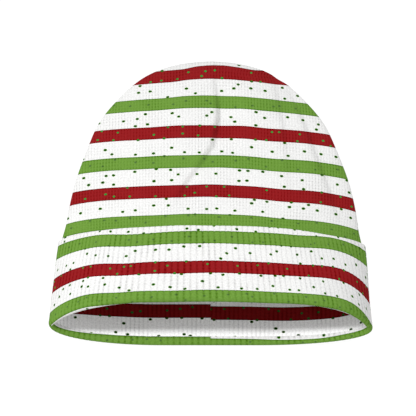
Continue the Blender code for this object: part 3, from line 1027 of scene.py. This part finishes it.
def knit_material(name, layout, inks, stitch, roughness):
    """A printed knit: the print deepened in the gaps between loops, with the same loops as bump. The
    gaps show more in some patches than in others, and the yarn itself has a fine, uneven grain."""
    material = bpy.data.materials.new(name)
    material.use_nodes = True
    tree = material.node_tree
    cloth = cloth_in_mm(tree)
    between_wales, between_courses = loop_gaps(tree, cloth, stitch)
    dashes = add(tree, MATHS, {"operation": "MULTIPLY_ADD"},
                 {0: between_courses, 1: stitch.dashed, 2: 1 - stitch.dashed})
    holes = add(tree, MATHS, {"operation": "MULTIPLY"}, {0: between_wales, 1: dashes})
    patches = add(tree, NOISE, {"noise_dimensions": "2D"}, {"Vector": cloth, "Scale": 1 / PATCH_SIZE})
    uneven = add(tree, MAP_RANGE, {}, {"Value": patches, "From Min": PATCH_NOISE[0],
                                       "From Max": PATCH_NOISE[1], "To Min": FAINTEST_PATCH})
    shown = add(tree, MATHS, {"operation": "MULTIPLY"}, {0: holes, 1: uneven})

    printed, edge_depth = printed_colour(tree, cloth, layout, inks)
    depth = add(tree, MATHS, {"operation": "MULTIPLY_ADD"}, {0: shown, 1: stitch.depth, 2: edge_depth})
    grain = add(tree, NOISE, {"noise_dimensions": "2D"},
                {"Vector": cloth, "Scale": 1 / GRAIN_SIZE, "Detail": GRAIN_DETAIL})
    lighter = add(tree, MAP_RANGE, {}, {"Value": grain, "From Min": GRAIN_NOISE[0],
                                        "From Max": GRAIN_NOISE[1],
                                        "To Min": 1 - GRAIN, "To Max": 1 + GRAIN / 2})
    colour = add(tree, VECTORS, {"operation": "SCALE"},
                 {0: deepened(tree, printed, depth), "Scale": lighter})

    hollows = add(tree, MATHS, {"operation": "MULTIPLY_ADD"},
                  {0: between_courses, 1: COURSE_RELIEF, 2: between_wales})
    bump = add(tree, "ShaderNodeBump", {"invert": True},
               {"Height": hollows, "Distance": stitch.relief, "Strength": RELIEF_STRENGTH})
    shader = tree.nodes["Principled BSDF"]
    tree.links.new(colour.outputs[0], shader.inputs["Base Color"])
    tree.links.new(bump.outputs[0], shader.inputs["Normal"])
    shader.inputs["Roughness"].default_value = roughness
    shader.inputs["IOR"].default_value = POLYESTER_IOR
    shader.inputs["Specular IOR Level"].default_value = KNIT_GLOSS
    return material


print(f"Gaps fade in and out over patches of about {PATCH_SIZE:.0f} mm")

# %% [markdown]
# ## Three knits
#
# The body is a polyester double knit, two fine layers knitted as one. It looks matt and even, with
# fine columns that come and go in patches. Its inside is the same cloth's other face, with broader,
# softer loops, and its inks carry painted light and shade: a lighter white and a darker red. The cuff
# is a rib knit of the same yarn and a little rougher. Its gaps are drawn once to a rib, so they lie in
# the grooves of the mesh and make each rib look round. Polyester is a glossy plastic, but loops
# scatter nearly all of its gloss, so the knits keep its IOR and almost no highlight.

# %% Dress the pieces
DOUBLE_KNIT_ROUGHNESS = 0.88
RIB_KNIT_ROUGHNESS = 0.90

body_knit = knit_material("printed_double_knit", BODY_PRINT, OUTSIDE, BODY_STITCH, DOUBLE_KNIT_ROUGHNESS)
# The inside's knit takes the inside's inks, with their painted light and shade.
inside_knit_painted_light_and_shade = knit_material("double_knit_inside_painted_light_and_shade", BODY_PRINT, INSIDE_PAINTED_LIGHT_AND_SHADE, INSIDE_STITCH, DOUBLE_KNIT_ROUGHNESS)
cuff_knit = knit_material("printed_rib_knit", CUFF_PRINT, OUTSIDE, CUFF_STITCH, RIB_KNIT_ROUGHNESS)
crown.data.materials.append(body_knit)
crown.data.materials.append(inside_knit_painted_light_and_shade)
cuff.data.materials.append(cuff_knit)
print("Materials:", body_knit.name, inside_knit_painted_light_and_shade.name, cuff_knit.name)

# %% [markdown]
# ## A pale floor
#
# The hat lies on a light table, as things do when they are pictured without a shadow: a sheet of opal
# acrylic, matt and milky, that glows evenly from below. A white board under strong lamps could be as
# bright, but the hat's shadow would show on it.

# %% Floor
FLOOR_SIDE = 8.0
FLOOR_DROP = 0.1 * MM
TABLE_GLOW = 0.95
TABLE_ROUGHNESS = 0.95
TABLE_GLOSS = 0.1


def make_floor():
    """A flat square just under the hat."""
    half = FLOOR_SIDE / 2
    corners = np.array([(-half, -half), (half, -half), (half, half), (-half, half)])
    mesh = bpy.data.meshes.new("floor")
    mesh.from_pydata(np.column_stack([corners, np.full(4, -FLOOR_DROP)]), [], [(0, 1, 2, 3)])
    material = bpy.data.materials.new("opal_acrylic_light_table")
    material.use_nodes = True
    shader = material.node_tree.nodes["Principled BSDF"]
    shader.inputs["Base Color"].default_value = linear("#595959")
    shader.inputs["Emission Color"].default_value = linear("#ffffff")
    shader.inputs["Emission Strength"].default_value = TABLE_GLOW
    shader.inputs["Roughness"].default_value = TABLE_ROUGHNESS
    shader.inputs["Specular IOR Level"].default_value = TABLE_GLOSS
    mesh.materials.append(material)
    return put_in_scene("floor", mesh)


floor = make_floor()
print(f"The floor lies {FLOOR_DROP / MM} mm under the hat")

# %% [markdown]
# ## Soft light
#
# An even pale sky lights the hat from all round. One strip lamp hangs high above it, a little to the
# left. It is narrow along the hat, so the rim throws a crisp shadow into the opening, and long across
# it, which keeps the creases soft. A square lamp of the same power would blur that shadow away.

# %% Lamp and sky
LAMP_PLACE = (-0.65, -0.18, 2.0)
LAMP_LENGTH = 1.3
LAMP_DEPTH = 0.2
LAMP_POWER = 34.0
SKY_STRENGTH = 0.66


def make_lamp():
    """A strip lamp that faces the hat, tipped about X and then rolled about Y so that its long side stays
    in the plane of the rim. It doesn't show itself to the camera."""
    light = bpy.data.lights.new("strip_softbox", "AREA")
    light.shape = "RECTANGLE"
    light.size = LAMP_LENGTH
    light.size_y = LAMP_DEPTH
    light.energy = LAMP_POWER
    lamp = put_in_scene("strip_softbox", light)
    lamp.location = LAMP_PLACE
    aim = -Vector(LAMP_PLACE).normalized()
    lamp.rotation_euler = (np.arcsin(aim.y), np.arctan2(-aim.x, -aim.z), 0.0)
    lamp.visible_camera = False


make_lamp()
world = bpy.data.worlds.new("pale_studio")
world.use_nodes = True
sky = world.node_tree.nodes["Background"]
sky.inputs["Color"].default_value = linear("#ffffff")
sky.inputs["Strength"].default_value = SKY_STRENGTH
bpy.context.scene.world = world
print(f"A strip lamp of {LAMP_LENGTH} by {LAMP_DEPTH} m under a pale sky")

# %% [markdown]
# ## The camera
#
# The camera looks down at the hat from in front, from far away through a long lens, so that the hat's
# near and far ends keep one scale. An orthographic camera would give nearly the same picture, but
# without the trace of perspective that a real lens leaves.

# %% Camera
CAMERA_ELEVATION = np.radians(65.0)
CAMERA_DISTANCE = 8.0
CAMERA_TARGET = Vector((-2.0, -16.2, 30.0)) * MM
PICTURE_WIDTH = 311.2 * MM
SENSOR = 36.0


def make_camera():
    """Looks along +Y and down. The lens is the sensor's width times distance over picture width."""
    camera = bpy.data.cameras.new("camera")
    camera.sensor_width = SENSOR
    camera.lens = SENSOR * CAMERA_DISTANCE / PICTURE_WIDTH
    camera.clip_end = 2 * CAMERA_DISTANCE
    made = put_in_scene("camera", camera)
    back = Vector((0.0, -np.cos(CAMERA_ELEVATION), np.sin(CAMERA_ELEVATION)))
    made.location = CAMERA_TARGET + back * CAMERA_DISTANCE
    made.rotation_euler = (-back).to_track_quat("-Z", "Y").to_euler()
    return made


bpy.context.scene.camera = make_camera()
bpy.context.scene.view_settings.view_transform = "Standard"
print("Camera lens:", round(bpy.context.scene.camera.data.lens), "mm")

# %% [markdown]
# ## Put the pieces in place
#
# Each piece takes the place of one node of the imported model, which is hidden, and rides on its only
# body.

# %% Replace the plain solids and finish
for piece, node, slot in ((crown, "crown", "body_knit"), (cuff, "cuff", "cuff_knit")):
    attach(piece, "root")
    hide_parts(node)
